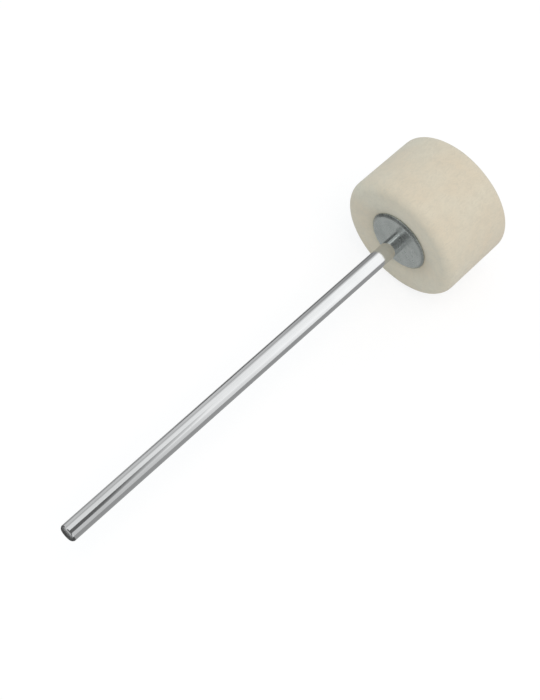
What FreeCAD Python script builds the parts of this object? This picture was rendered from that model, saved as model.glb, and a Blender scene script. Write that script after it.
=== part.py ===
import FreeCAD, Part
import math
import os

# Bass drum beater: a chromed rod with a pressed-felt head clamped on its turned-down end.
# Millimetres. The rod lies along +X, from its tip at the origin to the head, with +Z up.

# Shaft: a plain round rod, stepped down to a shank that passes through the head
shaft_diameter = 8.0
free_length = 193.5  # from the tip to the felt's lower face
tip_chamfer = 1.0
shoulder_step = 1.0  # on the radius: the ledge that carries the lower washer
shank_end_chamfer = 0.7
shank_past_nut = 1.5

# Felt head: one moulded block
head_diameter = 62.0
head_length = 39.5
dish_width = 3.5  # the felt dips to the lower washer over this much of its lower face
lower_edge_radius = 7.0
upper_edge_radius = 3.5
shank_end_inset = 0.5  # the shank's end under the felt's upper face

# Clamping stack
lower_washer_diameter = 30.0
lower_washer_thickness = 1.5
lower_washer_edge = 1.0  # bevel around the side that shows
upper_washer_diameter = 24.0
upper_washer_thickness = 1.5
spring_washer_width = 2.85
spring_washer_thickness = 1.6
spring_washer_slit = 0.8
spring_washer_slit_angle = 25.0  # degrees, the slit's lean from the axis
nut_wall = 2.0  # from the thread to a flat
nut_height = 5.0
nut_chamfer_angle = 30.0  # degrees
nut_bore_chamfer = 0.5

# Clearances, each on the radius
felt_bore_clearance = 0.05
washer_bore_clearance = 0.2
spring_washer_clearance = 0.05
thread_clearance = 0.05
washer_room = 0.5  # between a washer's rim and the wall of its recess

# Radii that the pieces share
shaft_radius = shaft_diameter / 2
shank_radius = shaft_radius - shoulder_step
head_radius = head_diameter / 2
lower_washer_radius = lower_washer_diameter / 2
upper_washer_radius = upper_washer_diameter / 2
washer_bore = shank_radius + washer_bore_clearance

# Stations along the axis, each piece seated on the one before
felt_lower_face = free_length
shoulder = felt_lower_face  # so the lower washer's face is flush with the felt's
felt_lower_seat = shoulder + lower_washer_thickness
felt_upper_face = felt_lower_face + head_length
shank_end = felt_upper_face - shank_end_inset
nut_top = shank_end - shank_past_nut
nut_seat = nut_top - nut_height
spring_washer_seat = nut_seat - spring_washer_thickness
felt_upper_seat = spring_washer_seat - upper_washer_thickness


def at(x, radius, angle=0.0):
    return FreeCAD.Vector(x, radius * math.sin(angle), radius * math.cos(angle))


def turned(points, radii=()):
    # A solid of revolution about X from (x, radius) corners. radii gives, for a corner's index,
    # the radius that rounds it
    corners = [at(*point) for point in points]
    radii = dict(radii)
    following = [*range(1, len(corners)), 0]
    starts = list(corners)
    ends = list(corners)
    arcs = {}
    for index, radius in radii.items():
        corner = corners[index]
        back = (corners[index - 1] - corner).normalize()
        ahead = (corners[following[index]] - corner).normalize()
        half_angle = back.getAngle(ahead) / 2
        inwards = (back + ahead).normalize()
        crown = corner + inwards * (radius / math.sin(half_angle) - radius)
        leg = radius / math.tan(half_angle)
        starts[index] = corner + back * leg
        ends[index] = corner + ahead * leg
        arcs[index] = Part.Arc(starts[index], crown, ends[index]).toShape()
    edges = []
    for index in range(len(corners)):
        if index in arcs:
            edges.append(arcs[index])
        edges.append(Part.makeLine(ends[index], starts[following[index]]))
    face = Part.Face(Part.Wire(edges))
    return face.revolve(FreeCAD.Vector(), FreeCAD.Vector(1, 0, 0), 360)


def make_shaft():
    return turned([
        (0, 0),
        (0, shaft_radius - tip_chamfer),
        (tip_chamfer, shaft_radius),
        (shoulder, shaft_radius),
        (shoulder, shank_radius),
        (shank_end - shank_end_chamfer, shank_radius),
        (shank_end, shank_radius - shank_end_chamfer),
        (shank_end, 0),
    ])


def make_felt_head():
    bore = shank_radius + felt_bore_clearance
    lower_recess = lower_washer_radius + washer_room
    upper_recess = upper_washer_radius + washer_room
    outline = [
        (felt_lower_seat, bore),
        (felt_lower_seat, lower_recess),
        (felt_lower_face, lower_recess + dish_width),
        (felt_lower_face, head_radius),
        (felt_upper_face, head_radius),
        (felt_upper_face, upper_recess),
        (felt_upper_seat, upper_recess),
        (felt_upper_seat, bore),
    ]
    return turned(outline, {3: lower_edge_radius, 4: upper_edge_radius})


def make_lower_washer():
    return turned([
        (felt_lower_seat, washer_bore),
        (felt_lower_seat, lower_washer_radius),
        (shoulder + lower_washer_edge, lower_washer_radius),
        (shoulder, lower_washer_radius - lower_washer_edge),
        (shoulder, washer_bore),
    ])


def make_upper_washer():
    return turned([
        (felt_upper_seat, washer_bore),
        (felt_upper_seat, upper_washer_radius),
        (spring_washer_seat, upper_washer_radius),
        (spring_washer_seat, washer_bore),
    ])


def make_spring_washer():
    bore = shank_radius + spring_washer_clearance
    rim = bore + spring_washer_width
    ring = turned([
        (spring_washer_seat, bore),
        (spring_washer_seat, rim),
        (nut_seat, rim),
        (nut_seat, bore),
    ])
    # The leaning slit through one side of the ring
    reach = 2 * rim
    middle = (spring_washer_seat + nut_seat) / 2
    slit = Part.makeBox(reach, spring_washer_slit, reach)
    slit.translate(FreeCAD.Vector(-reach / 2, -spring_washer_slit / 2, 0))
    slit.rotate(FreeCAD.Vector(), FreeCAD.Vector(0, 0, 1), spring_washer_slit_angle)
    slit.translate(FreeCAD.Vector(middle, 0, 0))
    return ring.cut(slit)


def make_hex_nut():
    bore = shank_radius + thread_clearance
    half_flats = shank_radius + nut_wall
    corner = half_flats / math.cos(math.pi / 6)
    corners = [at(nut_seat, corner, math.pi / 3 * side) for side in range(6)]
    hexagon = Part.Face(Part.makePolygon(corners + corners[:1]))
    prism = hexagon.extrude(FreeCAD.Vector(nut_height, 0, 0))
    # Both faces are turned down to a circle just inside the flats
    drop = (corner - half_flats) * math.tan(math.radians(nut_chamfer_angle))
    blank = turned([
        (nut_seat, 0),
        (nut_seat, half_flats),
        (nut_seat + drop, corner),
        (nut_top - drop, corner),
        (nut_top, half_flats),
        (nut_top, 0),
    ])
    hole = turned([
        (nut_seat, 0),
        (nut_seat, bore),
        (nut_top - nut_bore_chamfer, bore),
        (nut_top, bore + nut_bore_chamfer),
        (nut_top, 0),
    ])
    return prism.common(blank).cut(hole)


pieces = {
    "shaft": make_shaft(),
    "lower_washer": make_lower_washer(),
    "felt_head": make_felt_head(),
    "upper_washer": make_upper_washer(),
    "spring_washer": make_spring_washer(),
    "hex_nut": make_hex_nut(),
}

os.makedirs("parts", exist_ok=True)
for node, shape in pieces.items():
    solid = shape.Solids[0]
    solid.exportStep("parts/" + node + ".step")
    print(node, "volume", round(solid.Volume, 1), "valid", solid.isValid())
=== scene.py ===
import math

import bmesh
import bpy
from mathutils import Matrix, Vector, noise


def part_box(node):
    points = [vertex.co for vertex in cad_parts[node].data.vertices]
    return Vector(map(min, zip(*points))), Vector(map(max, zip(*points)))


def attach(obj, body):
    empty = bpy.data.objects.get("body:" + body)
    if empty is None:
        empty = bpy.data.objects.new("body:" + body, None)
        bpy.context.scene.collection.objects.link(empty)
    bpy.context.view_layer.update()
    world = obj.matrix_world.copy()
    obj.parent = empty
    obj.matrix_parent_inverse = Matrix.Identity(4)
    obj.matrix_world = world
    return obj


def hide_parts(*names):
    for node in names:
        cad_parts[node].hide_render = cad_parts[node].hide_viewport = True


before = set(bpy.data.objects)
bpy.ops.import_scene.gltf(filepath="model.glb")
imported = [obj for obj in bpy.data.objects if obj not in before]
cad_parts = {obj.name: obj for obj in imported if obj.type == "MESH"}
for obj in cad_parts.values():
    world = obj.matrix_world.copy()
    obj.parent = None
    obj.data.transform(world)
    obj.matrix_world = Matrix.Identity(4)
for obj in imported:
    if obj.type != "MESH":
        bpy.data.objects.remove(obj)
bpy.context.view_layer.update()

mm = 0.001
fullTurn = 2 * math.pi
noiseRange = (0.35, 0.65)  # where most of a noise texture's values lie
print("frame loaded with", len(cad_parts), "nodes")


class Value:
    # a socket, which Python's operators join to others with Math nodes
    def __init__(self, shading, socket):
        self.shading = shading
        self.socket = socket

    def join(self, operation, first, second):
        return self.shading.node("ShaderNodeMath", {"operation": operation}, {0: first, 1: second})

    def __add__(self, other):
        return self.join("ADD", self, other)

    def __sub__(self, other):
        return self.join("SUBTRACT", self, other)

    def __rsub__(self, other):
        return self.join("SUBTRACT", other, self)

    def __mul__(self, other):
        return self.join("MULTIPLY", self, other)

    __radd__ = __add__
    __rmul__ = __mul__


class Shading:
    # the node tree of a material or of the world, filled one node at a time
    def __init__(self, owner):
        owner.use_nodes = True
        self.owner = owner
        self.tree = owner.node_tree
        self.tree.nodes.clear()

    def node(self, kind, settings=None, sockets=None, output=0):
        made = self.tree.nodes.new(kind)
        for name, setting in (settings or {}).items():
            setattr(made, name, setting)
        for name, given in (sockets or {}).items():
            if isinstance(given, Value):
                self.tree.links.new(given.socket, made.inputs[name])
            else:
                made.inputs[name].default_value = given
        return Value(self, made.outputs[output]) if len(made.outputs) else None

    def place(self):
        return self.node("ShaderNodeTexCoord", output="Object")

    def axis(self, place, name):
        return self.node("ShaderNodeSeparateXYZ", None, {"Vector": place}, name)

    def stretch(self, place, turn, scale):
        sockets = {"Vector": place, "Rotation": turn, "Scale": scale}
        return self.node("ShaderNodeMapping", None, sockets)

    def grain(self, place, scale=1.0, detail=2.0, roughness=0.5):
        sockets = {"Vector": place, "Scale": scale, "Detail": detail, "Roughness": roughness}
        return self.node("ShaderNodeTexNoise", None, sockets)

    def radius(self, place):
        # the distance from the shaft's axis
        across = self.node("ShaderNodeVectorMath", {"operation": "MULTIPLY"}, {0: place, 1: (0, 1, 1)})
        return self.node("ShaderNodeVectorMath", {"operation": "LENGTH"}, {0: across}, "Value")

    def rings(self, radius, scale):
        # turning marks round the shaft
        return self.node("ShaderNodeTexNoise", {"noise_dimensions": "1D"}, {"W": radius, "Scale": scale})

    def level(self, given, low, high, newLow=0.0, newHigh=1.0):
        sockets = {"Value": given, "From Min": low, "From Max": high, "To Min": newLow, "To Max": newHigh}
        return self.node("ShaderNodeMapRange", None, sockets)

    def blend(self, factor, first, second):
        return self.node("ShaderNodeMix", {"data_type": "RGBA"}, {0: factor, 6: first, 7: second}, 2)

    def bump(self, height, depth):
        return self.node("ShaderNodeBump", None, {"Height": height, "Distance": depth})

    def surface(self, sockets):
        return self.finish(self.node("ShaderNodeBsdfPrincipled", None, sockets))

    def finish(self, shader):
        isWorld = isinstance(self.owner, bpy.types.World)
        kind = "ShaderNodeOutputWorld" if isWorld else "ShaderNodeOutputMaterial"
        self.node(kind, None, {"Surface": shader})
        return self.owner


def share(part, first, second):
    # a part of the first and the rest of the second
    return first * part + second * (1 - part)


def newLook(name):
    return Shading(bpy.data.materials.new(name))


def shaded(tint, shade):
    return (tint[0] * shade, tint[1] * shade, tint[2] * shade, 1)


def station(node):
    # where a node starts and ends along the shaft, and its outer radius
    low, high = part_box(node)
    return low.x, high.x, high.z


def drawProfile(corners, roundSegments, closed=False):
    # corners are (x, radius, rounding), and a rounding takes that much of both sides of its corner
    bm = bmesh.new()
    verts = [bm.verts.new((x, 0, radius)) for x, radius, rounding in corners]
    for first, second in zip(verts, verts[1:] + verts[:closed]):
        bm.edges.new((first, second))
    for vert, (x, radius, rounding) in zip(verts, corners):
        if rounding:
            bmesh.ops.bevel(bm, geom=[vert], offset=rounding, offset_type="OFFSET", segments=roundSegments,
                            profile=0.5, affect="VERTICES", material=-1)
    return bm


def holdEnds(bm, distance=0.1 * mm, longerThan=2.0 * mm):
    # puts a point near both ends of a profile's longer edges, so that they are shaded straight between
    for edge in bm.edges[:]:
        length = edge.calc_length()
        if length > longerThan:
            first, second = edge.verts
            point = bmesh.utils.edge_split(edge, first, distance / length)[1]
            rest = bm.edges.get((point, second))
            bmesh.utils.edge_split(rest, second, distance / (length - distance))


def cutLonger(bm, length):
    # cuts a profile's longer edges so that none is much over a length
    cuts = {}
    for edge in bm.edges:
        cuts.setdefault(round(edge.calc_length() / length), []).append(edge)
    for count, edges in cuts.items():
        if count > 1:
            bmesh.ops.subdivide_edges(bm, edges=edges, cuts=count - 1)


def closeMesh(bm, mergeDistance=0.001 * mm):
    bmesh.ops.remove_doubles(bm, verts=bm.verts[:], dist=mergeDistance)
    bmesh.ops.recalc_face_normals(bm, faces=bm.faces[:])


def spinRound(bm, steps):
    bmesh.ops.spin(bm, geom=bm.verts[:] + bm.edges[:], cent=(0, 0, 0), axis=(1, 0, 0), dvec=(0, 0, 0),
                   angle=fullTurn, steps=steps, use_merge=True, use_duplicate=False)
    closeMesh(bm)


def spinSection(bm, section, angle, steps, advance=0.0):
    # sweeps a face round the shaft, with closed ends, while it moves on along the shaft
    geom = section.verts[:] + section.edges[:] + [section]
    bmesh.ops.spin(bm, geom=geom, cent=(0, 0, 0), axis=(1, 0, 0), dvec=(advance / steps, 0, 0),
                   angle=angle, steps=steps, use_merge=False, use_duplicate=False)
    closeMesh(bm)


def addObject(bm, name, look):
    mesh = bpy.data.meshes.new(name)
    bm.to_mesh(mesh)
    bm.free()
    mesh.materials.append(look)
    made = bpy.data.objects.new(name, mesh)
    bpy.context.scene.collection.objects.link(made)
    return made


def addPiece(bm, name, look, body, nodes, sharpAngle=35.0):
    for face in bm.faces:
        face.smooth = True
    for edge in bm.edges:
        edge.smooth = edge.calc_face_angle(0.0) < math.radians(sharpAngle)
    piece = addObject(bm, name, look)
    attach(piece, body)
    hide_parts(*nodes)
    print("made", name, "with", len(piece.data.polygons), "faces")
    return piece


shaftStart, shaftEnd, shaftRadius = station("shaft")
washerFace, lowerSeat, lowerWasherRadius = station("lower_washer")
upperSeat, springSeat, upperWasherRadius = station("upper_washer")
nutSeat, nutTop, nutCorner = station("hex_nut")
feltStart, feltEnd, feltRadius = station("felt_head")
springRim = station("spring_washer")[2]
shoulderStep = 1.0 * mm  # on the radius, from the rod down to the shank
shankRadius = shaftRadius - shoulderStep


# Chromed rod: a mirror plate with faint drawing lines along it, and a bare end at the tip

chrome = {
    "tint": (0.68, 0.69, 0.695, 1),
    "dullTint": (0.63, 0.64, 0.645, 1),
    "roughness": (0.05, 0.11),
    "lineScale": (14, 1500, 1500),
    "lineDetail": 3.0,
    "lineDepth": 0.004 * mm,
    "haze": (90.0, 3.0),  # a noise texture's scale and detail
    "lineShare": 0.5,  # of the wear, beside the haze
    "turnedEnd": (0.6 * mm, 1.6 * mm),  # where the turned end gives way to the plate
    "turnedTint": (0.50, 0.51, 0.51, 1),
    "turnedDarkTint": (0.38, 0.39, 0.39, 1),
    "turnedRoughness": 0.45,  # more than the plate's
    "turnedRingScale": 3200.0,
    "turnedRingDepth": 3,  # in depths of a line
}


def makeChrome():
    look = newLook("chromePlate")
    place = look.place()
    lines = look.grain(look.stretch(place, (0, 0, 0), chrome["lineScale"]), detail=chrome["lineDetail"])
    haze = look.grain(place, *chrome["haze"])
    wear = look.level(share(chrome["lineShare"], lines, haze), *noiseRange)
    turned = look.level(look.axis(place, "X"), *chrome["turnedEnd"], 1, 0)
    rings = look.rings(look.radius(place), chrome["turnedRingScale"])
    bare = look.blend(look.level(rings, *noiseRange), chrome["turnedTint"], chrome["turnedDarkTint"])
    plate = look.blend(wear, chrome["tint"], chrome["dullTint"])
    return look.surface({
        "Base Color": look.blend(turned, plate, bare),
        "Metallic": 1.0,
        "Roughness": look.level(wear, 0, 1, *chrome["roughness"]) + turned * chrome["turnedRoughness"],
        "Normal": look.bump(lines + rings * turned * chrome["turnedRingDepth"], chrome["lineDepth"]),
    })


# Zinc plate on the washers and the nut: satin, cool grey, with faint rings round the shaft, and painted
# shade on the lower washer's bevel

zinc = {
    "tint": (0.69, 0.735, 0.715),
    "darkTint": (0.57, 0.615, 0.595),
    "nutShade": 0.80,
    "springShade": 0.58,
    "bevelPaintedShade": 0.74,  # painted shade: the outer part of the lower washer's bevel is darkened all round, standing in for the shadow at its rim
    "bevelFade": (0.1 * mm, 0.7 * mm),  # from the bevel's start
    "noBevel": 1.0,  # a radius beyond every piece
    "roughness": (0.20, 0.34),
    "ringScale": 2600.0,
    "ringDepth": 0.012 * mm,
    "bloom": (260.0, 4.0, 0.6),  # a noise texture's scale, detail and roughness
    "pits": (1800.0, 2.0),
    "ringWear": 0.35,  # of the wear, beside the bloom
    "ringRelief": 0.6,  # of the relief, beside the pits
}


def makeZinc(name, shade, bevelStart=zinc["noBevel"]):
    look = newLook(name)
    place = look.place()
    radius = look.radius(place)
    rings = look.rings(radius, zinc["ringScale"])
    bloom = look.grain(place, *zinc["bloom"])
    pits = look.grain(place, *zinc["pits"])
    wear = look.level(share(zinc["ringWear"], rings, bloom), *noiseRange)
    plate = look.blend(wear, shaded(zinc["tint"], shade), shaded(zinc["darkTint"], shade))
    # painted shade: a mask that darkens the plate towards the lower washer's rim, where the felt's shadow
    # falls
    bevel = look.level(radius, *[bevelStart + fade for fade in zinc["bevelFade"]])
    return look.surface({
        "Base Color": look.blend(bevel, plate, shaded(zinc["darkTint"], shade * zinc["bevelPaintedShade"])),
        "Metallic": 1.0,
        "Roughness": look.level(wear, 0, 1, *zinc["roughness"]),
        "Normal": look.bump(share(zinc["ringRelief"], rings, pits), zinc["ringDepth"]),
    })


# Pressed wool felt: cream, matted fibres lying in every direction, with painted shade in the low places
# between them

felt = {
    "cream": (0.70, 0.64, 0.51, 1),
    "warm": (0.70, 0.61, 0.47, 1),
    "grey": (0.59, 0.54, 0.435, 1),
    "paintedHollowShade": 0.6,  # painted shade: how far the colour goes towards the grey in the low places between the fibres
    "fibreTurns": ((0.3, 0.2, 0.5), (1.1, 0.7, 2.0), (0.4, 1.6, 1.2)),
    "fibreScale": (260, 1900, 1900),
    "fibreDetail": 1.0,
    "fibreDepth": 0.22 * mm,
    "wanderScale": 300.0,
    "wander": 4.0 * mm,  # how far the fibres stray from straight lines
    "clumps": (330.0, 4.0, 0.6),  # a noise texture's scale, detail and roughness
    "clouds": (55.0, 2.0),
    "fibreShare": 0.62,  # of the matting, beside the clumps
    "fibreRelief": 0.6,  # of the relief, beside the clumps
    "pressedRange": (0.38, 0.56),  # of the matting, from loose to pressed
    "roughness": (0.88, 1.0),
    "gloss": 0.15,
    "sheen": 0.12,
    "sheenRoughness": 0.6,
}


def makeFelt():
    look = newLook("woolFelt")
    place = look.place()
    sockets = {"Vector": place, "Scale": felt["wanderScale"], "Detail": felt["fibreDetail"]}
    wander = look.node("ShaderNodeTexNoise", None, sockets, "Color")
    sockets = {0: wander, 1: (felt["wander"], felt["wander"], felt["wander"]), 2: place}
    bent = look.node("ShaderNodeVectorMath", {"operation": "MULTIPLY_ADD"}, sockets)
    strands = [look.grain(look.stretch(bent, turn, felt["fibreScale"]), detail=felt["fibreDetail"])
               for turn in felt["fibreTurns"]]
    mat = (strands[0] + strands[1] + strands[2]) * (1 / 3)
    clumps = look.grain(place, *felt["clumps"])
    clouds = look.grain(place, *felt["clouds"])
    pressed = look.level(share(felt["fibreShare"], mat, clumps), *felt["pressedRange"])
    colour = look.blend(look.level(clouds, *noiseRange), felt["cream"], felt["warm"])
    return look.surface({
        # painted shade: where the matting is loose and low, the colour goes towards grey as if shaded
        # between the fibres
        "Base Color": look.blend((1 - pressed) * felt["paintedHollowShade"], colour, felt["grey"]),
        "Roughness": look.level(pressed, 0, 1, *felt["roughness"]),
        "Specular IOR Level": felt["gloss"],
        "Sheen Weight": felt["sheen"],
        "Sheen Roughness": felt["sheenRoughness"],
        "Normal": look.bump(share(felt["fibreRelief"], mat, clumps), felt["fibreDepth"]),
    })


# Shaft: the rod, its shoulder, the shank through the head and the thread for the nut

shaftRod = {
    "tipRound": 1.7 * mm,
    "shoulderRound": 0.05 * mm,
    "threadPitch": 1.0 * mm,
    "threadDepth": 0.6 * mm,
    "coreRound": 0.2 * mm,  # at the end of the thread's core
    "crestWidth": 0.14 * mm,
    "ridgeWidth": 0.94,  # of the pitch, at the ridge's foot
    "ridgeSink": 0.1 * mm,  # into the core
    "ridgeInset": 0.02 * mm,  # from the shank's end
    "ridgeSteps": 48,  # per turn
    "endChamfer": 0.7 * mm,
    "steps": 96,
    "roundSegments": 12,
}


def makeShaft():
    threadStart = nutSeat - shaftRod["threadPitch"]
    threadCore = shankRadius - shaftRod["threadDepth"]
    bm = drawProfile([
        (shaftStart, 0, 0),
        (shaftStart, shaftRadius, shaftRod["tipRound"]),
        (washerFace, shaftRadius, shaftRod["shoulderRound"]),
        (washerFace, shankRadius, 0),
        (threadStart, shankRadius, 0),
        (threadStart + shaftRod["threadDepth"], threadCore, 0),
        (shaftEnd, threadCore, shaftRod["coreRound"]),
        (shaftEnd, 0, 0),
    ], shaftRod["roundSegments"])
    holdEnds(bm)
    spinRound(bm, shaftRod["steps"])
    helix = makeRidge(threadStart, threadCore)
    bm.from_mesh(helix)
    bpy.data.meshes.remove(helix)
    addPiece(bm, "shaftRod", chromeLook, "shaft_assembly", ["shaft"])


def makeRidge(threadStart, threadCore):
    # the thread's ridge, cut back by the chamfer at the shank's end
    pitch, crest = shaftRod["threadPitch"], shaftRod["crestWidth"]
    foot = pitch * shaftRod["ridgeWidth"]
    sunk = threadCore - shaftRod["ridgeSink"]
    outline = [
        (threadStart, sunk),
        (threadStart, threadCore),
        (threadStart + (foot - crest) / 2, shankRadius),
        (threadStart + (foot + crest) / 2, shankRadius),
        (threadStart + foot, threadCore),
        (threadStart + foot, sunk),
    ]
    bm = bmesh.new()
    section = bm.faces.new([bm.verts.new((x, 0, radius)) for x, radius in outline])
    turns = round((shaftEnd - threadStart) / pitch)
    spinSection(bm, section, turns * fullTurn, turns * shaftRod["ridgeSteps"], turns * pitch)
    for vert in bm.verts:
        radius = math.hypot(vert.co.y, vert.co.z)
        x = min(vert.co.x, shaftEnd - shaftRod["ridgeInset"])
        allowed = min(radius, shankRadius - shaftRod["endChamfer"] + shaftEnd - x)
        vert.co = (x, vert.co.y * allowed / radius, vert.co.z * allowed / radius)
    mesh = bpy.data.meshes.new("threadRidge")
    bm.to_mesh(mesh)
    bm.free()
    return mesh


# Washers: stamped rings with a bevel around the side that shows

washer = {
    "boreRoom": 0.2 * mm,
    "lowerBevel": (0.95 * mm, 1.35 * mm),  # along the shaft and across it
    "upperBevel": (0.3 * mm, 0.3 * mm),
    "bevelRounding": 0.3,  # of the bevel
    "footRounding": 0.2 * mm,  # at most, where the bevel meets the rim
    "feltEdge": 0.12 * mm,
    "boreEdge": 0.2 * mm,
    "steps": 144,
    "roundSegments": 6,
}


def makeWasher(name, node, look, feltSide, outerSide, radius, bevel):
    bore = shankRadius + washer["boreRoom"]
    depth, width = bevel
    bevelFoot = outerSide + math.copysign(depth, feltSide - outerSide)
    rounding = washer["bevelRounding"] * depth
    bm = drawProfile([
        (feltSide, bore, washer["feltEdge"]),
        (feltSide, radius, washer["feltEdge"]),
        (bevelFoot, radius, min(rounding, washer["footRounding"])),
        (outerSide, radius - width, rounding),
        (outerSide, bore, washer["boreEdge"]),
    ], washer["roundSegments"], closed=True)
    holdEnds(bm)
    spinRound(bm, washer["steps"])
    addPiece(bm, name, look, "shaft_assembly", [node])


# Spring washer: one turn of square wire, pressed flat, with a leaning slit

springWasher = {
    "boreRoom": 0.05 * mm,
    "slit": 0.8 * mm,
    "lean": math.radians(25),
    "edge": 0.15 * mm,
    "steps": 72,
    "roundSegments": 3,
}


def makeSpringWasher():
    bore = shankRadius + springWasher["boreRoom"]
    edge = springWasher["edge"]
    bm = drawProfile([
        (springSeat, bore, edge),
        (springSeat, springRim, edge),
        (nutSeat, springRim, edge),
        (nutSeat, bore, edge),
    ], springWasher["roundSegments"], closed=True)
    holdEnds(bm)
    section = bmesh.ops.contextual_create(bm, geom=bm.edges[:])["faces"][0]
    middle = (bore + springRim) / 2
    gap = springWasher["slit"] / math.cos(springWasher["lean"]) / middle
    bmesh.ops.rotate(bm, verts=bm.verts[:], cent=(0, 0, 0), matrix=Matrix.Rotation(gap / 2, 3, "X"))
    spinSection(bm, section, fullTurn - gap, springWasher["steps"])
    # the lean: the further along the shaft, the further round
    for vert in bm.verts:
        turn = (vert.co.x - (springSeat + nutSeat) / 2) * math.tan(springWasher["lean"]) / middle
        vert.co = Matrix.Rotation(turn, 3, "X") @ vert.co
    addPiece(bm, "springWasherRing", springLook, "shaft_assembly", ["spring_washer"])


# Hex nut: six flats, both faces turned down to a circle, a countersunk bore

hexNut = {
    "boreRoom": 0.05 * mm,
    "countersink": 0.5 * mm,
    "faceCircle": 0.96,  # of the distance from the axis to a flat
    "chamfer": math.radians(30),
    "edge": 0.07 * mm,
    "edgeSegments": 2,
    "sharpAngle": 20.0,
    "segments": 96,
}


def makeHexNut():
    flat = nutCorner * math.cos(math.pi / 6)
    bore = shankRadius + hexNut["boreRoom"]
    face = flat * hexNut["faceCircle"]

    def hexRadius(angle):
        return flat / math.cos((angle % (math.pi / 3)) - math.pi / 6)

    def drop(angle):
        return (hexRadius(angle) - face) * math.tan(hexNut["chamfer"])

    # each ring gives, for an angle, its place along the shaft and its radius
    rings = [
        lambda angle: (nutSeat, bore + hexNut["countersink"]),
        lambda angle: (nutSeat, face),
        lambda angle: (nutSeat + drop(angle), hexRadius(angle)),
        lambda angle: (nutTop - drop(angle), hexRadius(angle)),
        lambda angle: (nutTop, face),
        lambda angle: (nutTop, bore + hexNut["countersink"]),
        lambda angle: (nutTop - hexNut["countersink"], bore),
        lambda angle: (nutSeat + hexNut["countersink"], bore),
    ]
    bm = bmesh.new()
    acrossShaft = Matrix.Rotation(math.pi / 2, 4, "Y")
    bmesh.ops.create_circle(bm, segments=hexNut["segments"], radius=face, matrix=acrossShaft)
    first = loop = bm.edges[:]
    for index, ring in enumerate(rings):
        if index:
            loop = [item for item in bmesh.ops.extrude_edge_only(bm, edges=loop)["geom"]
                    if isinstance(item, bmesh.types.BMEdge)]
        for vert in {vert for edge in loop for vert in edge.verts}:
            angle = math.atan2(vert.co.y, vert.co.z)
            x, radius = ring(angle)
            vert.co = (x, radius * math.sin(angle), radius * math.cos(angle))
    bmesh.ops.bridge_loops(bm, edges=first + loop)
    closeMesh(bm)
    nut = addPiece(bm, "hexNutBody", nutLook, "shaft_assembly", ["hex_nut"],
                   hexNut["sharpAngle"])
    rounding = nut.modifiers.new("worn edges", "BEVEL")
    rounding.width = hexNut["edge"]
    rounding.segments = hexNut["edgeSegments"]
    rounding.limit_method = "ANGLE"
    rounding.angle_limit = math.radians(hexNut["sharpAngle"])
    rounding.harden_normals = True


# Felt head: a moulded block with a broad lower edge, uneven by fractions of a millimetre

feltHead = {
    "boreRoom": 0.05 * mm,
    "washerRoom": 0.5 * mm,
    "seatRoom": 0.05 * mm,  # the felt stays off the washers that it turns between
    "seatRound": 0.3 * mm,
    "dishWidth": 3.5 * mm,
    "dishEdge": 2.2 * mm,
    "lowerEdge": 5.0 * mm,
    "upperEdge": 3.5 * mm,
    "mouthEdge": 0.7 * mm,
    "taper": 0.3 * mm,
    "mesh": 0.55 * mm,
    "steps": 360,
    "roundSegments": 10,
    "sharpAngle": 70.0,
    # size and depth of the lumps
    "unevenness": ((20 * mm, 0.16 * mm), (5.5 * mm, 0.07 * mm), (2 * mm, 0.03 * mm)),
    "evenRim": 0.2 * mm,  # around the washers' recesses, which stay true
    "rimFade": 3 * mm,  # past that rim, until the lumps have their full depth
}


def makeFeltHead():
    bore = shankRadius + feltHead["boreRoom"]
    lowerMouth = lowerWasherRadius + feltHead["washerRoom"]
    upperMouth = upperWasherRadius + feltHead["washerRoom"]
    lowFloor = lowerSeat + feltHead["seatRoom"]
    highFloor = upperSeat - feltHead["seatRoom"]
    bm = drawProfile([
        (lowFloor, bore, 0),
        (lowFloor, lowerMouth, feltHead["seatRound"]),
        (feltStart, lowerMouth + feltHead["dishWidth"], feltHead["dishEdge"]),
        (feltStart, feltRadius, feltHead["lowerEdge"]),
        (feltEnd, feltRadius - feltHead["taper"], feltHead["upperEdge"]),
        (feltEnd, upperMouth, feltHead["mouthEdge"]),
        (highFloor, upperMouth, feltHead["seatRound"]),
        (highFloor, bore, 0),
    ], feltHead["roundSegments"], closed=True)
    cutLonger(bm, feltHead["mesh"])
    spinRound(bm, feltHead["steps"])
    bm.normal_update()
    for vert in bm.verts:
        radius = math.hypot(vert.co.y, vert.co.z)
        mouth = lowerMouth if vert.co.x < (feltStart + feltEnd) / 2 else upperMouth
        free = min(1, max(0, (radius - mouth - feltHead["evenRim"]) / feltHead["rimFade"]))
        bulge = sum(depth * (noise.noise(vert.co / size) - 1) / 2 for size, depth in feltHead["unevenness"])
        vert.co += vert.normal * bulge * free
    head = addPiece(bm, "feltBlock", feltLook, "head", ["felt_head"], feltHead["sharpAngle"])


chromeLook = makeChrome()
zincLook = makeZinc("zincPlate", 1.0)
# the lower washer's plate carries painted shade on its bevel
lowerZincLook = makeZinc("zincPlateBevelPaintedShade", 1.0, lowerWasherRadius - washer["lowerBevel"][1])
nutLook = makeZinc("zincPlateNut", zinc["nutShade"])
springLook = makeZinc("zincPlateSpring", zinc["springShade"])
feltLook = makeFelt()
print("looks made: chrome, zinc and felt")

makeShaft()
makeWasher("lowerWasherPlate", "lower_washer", lowerZincLook,
           lowerSeat, washerFace, lowerWasherRadius, washer["lowerBevel"])
makeWasher("upperWasherPlate", "upper_washer", zincLook,
           upperSeat, springSeat, upperWasherRadius, washer["upperBevel"])
makeSpringWasher()
makeHexNut()
makeFeltHead()


# Studio: a white floor and background, soft light from above, and grey cards that only the metal mirrors

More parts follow.
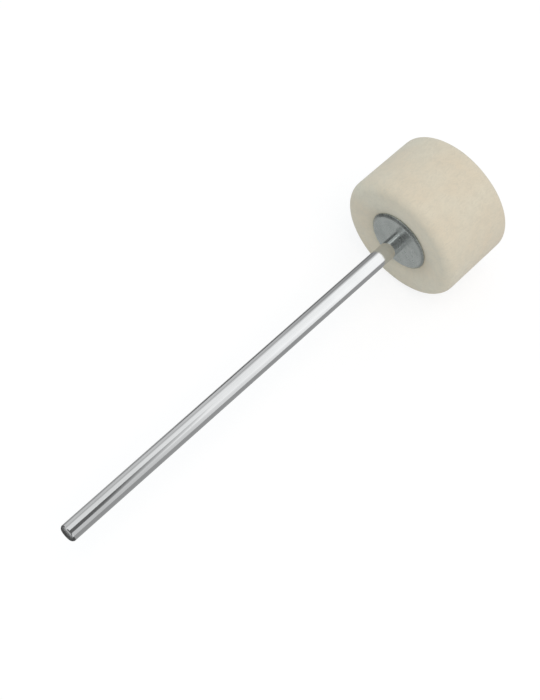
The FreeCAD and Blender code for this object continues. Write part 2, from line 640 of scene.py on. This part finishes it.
studio = {
    "floorHeight": -feltRadius,
    "floorReach": 60.0,
    "floorShade": 0.22,  # how much of the shadow the white floor shows
    "floorWhite": 1.02,
    "floorBounce": (0.8, 0.8, 0.8, 1),  # its colour for the light that it throws back
    "ambient": 0.74,
    "ambientTint": (0.89, 1.02, 1.115, 1),
    "keyFrom": (0.0, -0.35, 0.93),
    "keyStrength": 1.0,
    "keyTint": (1.07, 0.80, 0.61),
    "keySize": math.radians(50),
}


def cameraRays(shading):
    # 1 for rays that should meet a white background
    path = shading.node("ShaderNodeLightPath").socket.node
    seen, glossy, through = [Value(shading, path.outputs[name]) for name in
                             ("Is Camera Ray", "Is Glossy Ray", "Is Transmission Ray")]
    total = seen + glossy + through
    return shading.node("ShaderNodeMath", {"operation": "MINIMUM"}, {0: total, 1: 1.0})


def makeWorld():
    world = bpy.data.worlds.new("studioWhite")
    shading = Shading(world)
    seen = cameraRays(shading)
    sockets = {
        "Color": shading.blend(seen, studio["ambientTint"], (1, 1, 1, 1)),
        "Strength": shading.level(seen, 0, 1, studio["ambient"], 1.0),
    }
    shading.finish(shading.node("ShaderNodeBackground", None, sockets))
    bpy.context.scene.world = world


def addStage(bm, name, look):
    item = addObject(bm, name, look)
    return item


def makeFloor():
    shading = newLook("studioFloor")
    shade = studio["floorShade"]
    lit = shading.node("ShaderNodeBsdfDiffuse", None, {"Color": (shade, shade, shade, 1)})
    sockets = {"Color": (1, 1, 1, 1), "Strength": studio["floorWhite"] - shade}
    glow = shading.node("ShaderNodeEmission", None, sockets)
    white = shading.node("ShaderNodeAddShader", None, {0: lit, 1: glow})
    pale = shading.node("ShaderNodeBsdfDiffuse", None, {"Color": studio["floorBounce"]})
    sockets = {0: cameraRays(shading), 1: pale, 2: white}
    look = shading.finish(shading.node("ShaderNodeMixShader", None, sockets))
    bm = bmesh.new()
    bmesh.ops.create_grid(bm, x_segments=1, y_segments=1, size=studio["floorReach"])
    bmesh.ops.translate(bm, verts=bm.verts[:], vec=(0, 0, studio["floorHeight"]))
    addStage(bm, "studioFloor", look)


# each card's middle, half sizes and turn, then an axis, two places on it and the grey at each
lying, alongRod, acrossRod = ("Y", 0), ("X", 90), ("Y", 90)
onFloor = studio["floorHeight"] + 0.4 * mm
overFloor = studio["floorHeight"] + 0.6 * mm
cards = {
    "cardUnder": ((0.403, 0, onFloor), (0.397, 0.7), lying, "X", (0, 0.42), (1, 0.42)),
    "cardNear": ((-0.122, 0, onFloor), (0.128, 0.25), lying, "X", (-0.2, 0.40), (-0.1, 0.08)),
    # painted shadow: a dark card on the floor beside the head stands in for the head's shadow, which the
    # rod mirrors
    "cardPaintedHeadShadow": ((0.185, 0.36, overFloor), (0.085, 0.3), lying, "Y", (0.06, 0.30), (0.12, 0.10)),
    "cardSill": ((-0.285, 0.31, overFloor), (0.315, 0.19), lying, "X", (0, 0.17), (1, 0.17)),
    "cardSide": ((0.565, 0.5, 0.17), (0.535, 0.20), alongRod, "X", (0.27, 0.74), (0.42, 0.38)),
    "cardRight": ((0.5, -0.5, 0.21), (0.44, 0.24), alongRod, "X", (0.15, 0.76), (0.40, 1.33)),
    "cardSideTop": ((0.1, 0.5, 0.60), (1.0, 0.23), alongRod, "Z", (0.37, 0.45), (0.70, 1.0)),
    "cardCorner": ((-0.345, 0.5, 0.12), (0.375, 0.15), alongRod, "X", (0, 0.17), (1, 0.17)),
    "cardOver": ((0.135, -0.37, 0.54), (0.115, 0.29), lying, "X", (0.145, 0.16), (0.255, 1.0)),
    "cardSky": ((0.75, -0.375, 0.9), (0.5, 0.825), lying, "X", (0.25, 1.05), (0.65, 1.35)),
    "cardBehind": ((-0.145, -0.45, 0.55), (0.165, 0.65), lying, "X", (0, 0.15), (1, 0.15)),
    "cardBody": ((-0.4, -1.05, 0.36), (0.39, 0.45), acrossRod, "Z", (0, 0.14), (1, 0.14)),
    "cardFront": ((-0.7, -0.025, 0.185), (0.215, 0.475), acrossRod, "Z", (0, 0.16), (1, 0.16)),
}


def makeCards():
    for name, card in cards.items():
        middle, half, (turnAxis, degrees), axis, (start, startGrey), (stop, stopGrey) = card
        shading = newLook(name)
        place = shading.axis(shading.place(), axis)
        grey = shading.level(place, start, stop, startGrey, stopGrey)
        look = shading.finish(shading.node("ShaderNodeEmission", None, {"Color": grey}))
        turn = Matrix.Rotation(math.radians(degrees), 3, turnAxis)
        bm = bmesh.new()
        bmesh.ops.create_grid(bm, x_segments=1, y_segments=1, size=1.0)
        bmesh.ops.scale(bm, verts=bm.verts[:], vec=(half[0], half[1], 1))
        bmesh.ops.rotate(bm, verts=bm.verts[:], cent=(0, 0, 0), matrix=turn)
        bmesh.ops.translate(bm, verts=bm.verts[:], vec=middle)
        item = addStage(bm, name, look)
        item.visible_camera = False
        item.visible_diffuse = False
        item.visible_shadow = False
        item.visible_transmission = False
        item.visible_volume_scatter = False


def makeKey():
    lamp = bpy.data.lights.new("softKey", "SUN")
    lamp.energy = studio["keyStrength"]
    lamp.color = studio["keyTint"]
    lamp.angle = studio["keySize"]
    key = bpy.data.objects.new("softKey", lamp)
    key.rotation_mode = "QUATERNION"
    key.rotation_quaternion = Vector(studio["keyFrom"]).to_track_quat("Z", "Y")
    key.visible_glossy = False
    bpy.context.scene.collection.objects.link(key)


makeWorld()
makeFloor()
makeCards()
makeKey()
print("studio made")


# Camera: the photo's viewing angle on a 540 x 700 picture

camera = {
    "aim": (0.1157, 0.0016, 0.0),
    "distance": 0.5916,
    "azimuth": math.radians(-45.42),
    "elevation": math.radians(60.5),
    "viewAngle": math.radians(28),  # over the picture's height
    "reach": (0.01, 200),  # nearest and furthest that it sees
}


def makeCamera():
    azimuth, elevation = camera["azimuth"], camera["elevation"]
    level = math.cos(elevation)
    back = Vector((math.sin(azimuth) * level, -math.cos(azimuth) * level, math.sin(elevation)))
    lens = bpy.data.cameras.new("photoCamera")
    lens.angle = camera["viewAngle"]
    lens.clip_start, lens.clip_end = camera["reach"]
    eye = bpy.data.objects.new("photoCamera", lens)
    eye.rotation_mode = "QUATERNION"
    eye.rotation_quaternion = back.to_track_quat("Z", "Y")
    eye.location = Vector(camera["aim"]) + back * camera["distance"]
    bpy.context.scene.collection.objects.link(eye)
    bpy.context.scene.camera = eye


makeCamera()
bpy.context.scene.view_settings.view_transform = "Standard"
print("camera made")
